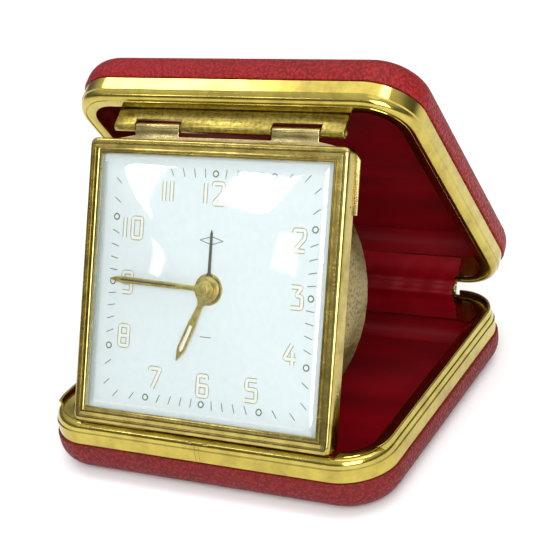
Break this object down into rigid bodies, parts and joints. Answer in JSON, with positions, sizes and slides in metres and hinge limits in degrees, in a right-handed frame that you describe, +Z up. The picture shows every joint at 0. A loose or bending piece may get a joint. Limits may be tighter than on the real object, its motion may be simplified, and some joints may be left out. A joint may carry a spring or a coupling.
{
  "type": "folding travel alarm clock",
  "caption": "Square wind-up alarm clock hinged inside a leather-covered clamshell travel case with gilt rims and a satin lining, standing open.",
  "frame": {"origin": "centre of the base half's flat underside, on the surface it stands on", "axes": "+Z up, -Y towards the person reading the dial, +X to that person's right along both hinges"},
  "size_m": [0.0768, 0.0786, 0.0753],
  "materials": {
    "cover_leatherette": "pebble grained, half matt",
    "rim_gilt": "polished gilt",
    "lining_satin": "woven satin",
    "inner_shell_steel": "plain rolled sheet",
    "hinge_brass": "dull gilt sheet",
    "hinge_pin_steel": "drawn wire",
    "bezel_gilt": "polished gilt",
    "crystal_acrylic": "clear moulded acrylic",
    "dial_paint": "matt off-white enamel",
    "movement_brass": "brushed plate",
    "movement_steel": "turned steel",
    "blued_steel": "heat blued",
    "hand_gilt": "polished gilt with pale fill",
    "alarm_hand_dark": "dark lacquer",
    "drum_gilt": "fine stippled gilt",
    "knob_brass": "turned brass"
  },
  "bodies": {
    "base": {"base_cover": "cover_leatherette", "base_shell": "inner_shell_steel", "base_rim": "rim_gilt", "base_lip_right": "rim_gilt", "base_lip_left": "rim_gilt", "base_lining": "lining_satin", "spine_leaf_base": "hinge_brass", "spine_pin": "hinge_pin_steel", "hinge_gusset": "lining_satin"},
    "lid": {"lid_cover": "cover_leatherette", "lid_shell": "inner_shell_steel", "lid_rim": "rim_gilt", "lid_lining": "lining_satin", "spine_leaf_lid": "hinge_brass", "clock_hinge_plate": "hinge_brass", "clock_hinge_pin": "hinge_pin_steel"},
    "clock": {"bezel": "bezel_gilt", "crystal": "crystal_acrylic", "dial": "dial_paint", "case_back": "drum_gilt", "clock_hinge_leaf": "hinge_brass", "movement_front_plate": "movement_brass", "movement_back_plate": "movement_brass", "pillar_1": "movement_brass", "pillar_2": "movement_brass", "pillar_3": "movement_brass", "hairspring": "blued_steel", "back_drum": "drum_gilt", "back_screw_1": "movement_steel", "back_screw_2": "movement_steel", "back_screw_3": "movement_steel"},
    "minute": {"centre_arbor": "movement_steel", "minute_hand": "hand_gilt", "time_set_knob": "knob_brass", "centre_wheel": "movement_brass"},
    "minute_wheel": {"minute_wheel": "movement_brass"},
    "hour": {"hour_wheel": "movement_brass", "hour_hand": "hand_gilt"},
    "going_barrel": {"going_barrel": "movement_brass"},
    "third_wheel": {"third_wheel": "movement_brass"},
    "escape_wheel": {"escape_wheel": "movement_brass"},
    "pallet_lever": {"pallet_lever": "movement_steel"},
    "balance": {"balance_wheel": "movement_brass"},
    "alarm_set": {"alarm_set_arbor": "movement_steel", "alarm_set_knob": "knob_brass"},
    "alarm": {"alarm_wheel": "movement_brass", "alarm_hand": "alarm_hand_dark"},
    "alarm_barrel": {"alarm_barrel": "movement_brass"},
    "alarm_hammer": {"alarm_hammer": "movement_steel"},
    "going_key": {"going_winding_key": "knob_brass"},
    "alarm_key": {"alarm_winding_key": "knob_brass"},
    "stop_button": {"alarm_stop_button": "knob_brass"},
    "regulator": {"regulator_lever": "blued_steel"}
  },
  "joints": [
    {"name": "lid_hinge", "type": "hinge", "parent": "base", "child": "lid", "pos_m": [0, 0.0352, 0.0127], "axis": [-1, 0, 0], "range_deg": [0, 45]},
    {"name": "clock_hinge", "type": "hinge", "parent": "lid", "child": "clock", "pos_m": [0, -0.00467, 0.0643], "axis": [1, 0, 0], "range_deg": [0, 61]},
    {"name": "minute_turn", "type": "hinge", "parent": "clock", "child": "minute", "pos_m": [0, -0.02225, 0.03853], "axis": [0, 0.8973, -0.4415], "continuous": true},
    {"name": "minute_wheel_turn", "type": "hinge", "parent": "clock", "child": "minute_wheel", "pos_m": [-0.00566, -0.01975, 0.04361], "axis": [0, 0.8973, -0.4415], "continuous": true},
    {"name": "hour_turn", "type": "hinge", "parent": "clock", "child": "hour", "pos_m": [0, -0.02225, 0.03853], "axis": [0, 0.8973, -0.4415], "continuous": true},
    {"name": "going_barrel_turn", "type": "hinge", "parent": "clock", "child": "going_barrel", "pos_m": [-0.00857, -0.02444, 0.03409], "axis": [0, 0.8973, -0.4415], "continuous": true},
    {"name": "third_wheel_turn", "type": "hinge", "parent": "clock", "child": "third_wheel", "pos_m": [0, -0.01792, 0.04732], "axis": [0, 0.8973, -0.4415], "continuous": true},
    {"name": "escape_wheel_turn", "type": "hinge", "parent": "clock", "child": "escape_wheel", "pos_m": [0.00688, -0.01617, 0.05089], "axis": [0, 0.8973, -0.4415], "continuous": true},
    {"name": "pallet_swing", "type": "hinge", "parent": "clock", "child": "pallet_lever", "pos_m": [0.01236, -0.0166, 0.05002], "axis": [0, 0.8973, -0.4415], "range_deg": [0, 6]},
    {"name": "balance_swing", "type": "hinge", "parent": "clock", "child": "balance", "pos_m": [0.01521, -0.01954, 0.04405], "axis": [0, 0.8973, -0.4415], "range_deg": [-120, 120], "stiffness_Nm_per_rad": 0.000004},
    {"name": "alarm_set_turn", "type": "hinge", "parent": "clock", "child": "alarm_set", "pos_m": [0, -0.02649, 0.02992], "axis": [0, 0.8973, -0.4415], "continuous": true},
    {"name": "alarm_turn", "type": "hinge", "parent": "clock", "child": "alarm", "pos_m": [0, -0.02225, 0.03853], "axis": [0, 0.8973, -0.4415], "continuous": true},
    {"name": "alarm_barrel_turn", "type": "hinge", "parent": "clock", "child": "alarm_barrel", "pos_m": [0.01091, -0.02503, 0.03288], "axis": [0, 0.8973, -0.4415], "continuous": true},
    {"name": "hammer_swing", "type": "hinge", "parent": "clock", "child": "alarm_hammer", "pos_m": [-0.01586, -0.01899, 0.04517], "axis": [0, 0.8973, -0.4415], "range_deg": [-6, 6]},
    {"name": "going_key_turn", "type": "hinge", "parent": "clock", "child": "going_key", "pos_m": [-0.00857, -0.02444, 0.03409], "axis": [0, 0.8973, -0.4415], "continuous": true},
    {"name": "alarm_key_turn", "type": "hinge", "parent": "clock", "child": "alarm_key", "pos_m": [0.01091, -0.02503, 0.03288], "axis": [0, 0.8973, -0.4415], "continuous": true},
    {"name": "stop_press", "type": "slide", "parent": "clock", "child": "stop_button", "axis": [0, -0.8973, 0.4415], "range_m": [0, 0.0005], "stiffness_N_per_m": 300},
    {"name": "regulator_turn", "type": "hinge", "parent": "clock", "child": "regulator", "pos_m": [0.0127, -0.01983, 0.04346], "axis": [0, 0.8973, -0.4415], "range_deg": [-15, 15]}
  ],
  "couplings": [
    {"joint": "minute_wheel_turn", "follows": "minute_turn", "ratio": -0.33333},
    {"joint": "hour_turn", "follows": "minute_turn", "ratio": 0.083333},
    {"joint": "going_barrel_turn", "follows": "minute_turn", "ratio": -0.22222},
    {"joint": "third_wheel_turn", "follows": "minute_turn", "ratio": -6},
    {"joint": "escape_wheel_turn", "follows": "minute_turn", "ratio": 33.75},
    {"joint": "alarm_turn", "follows": "alarm_set_turn", "ratio": -0.33333}
  ]
}
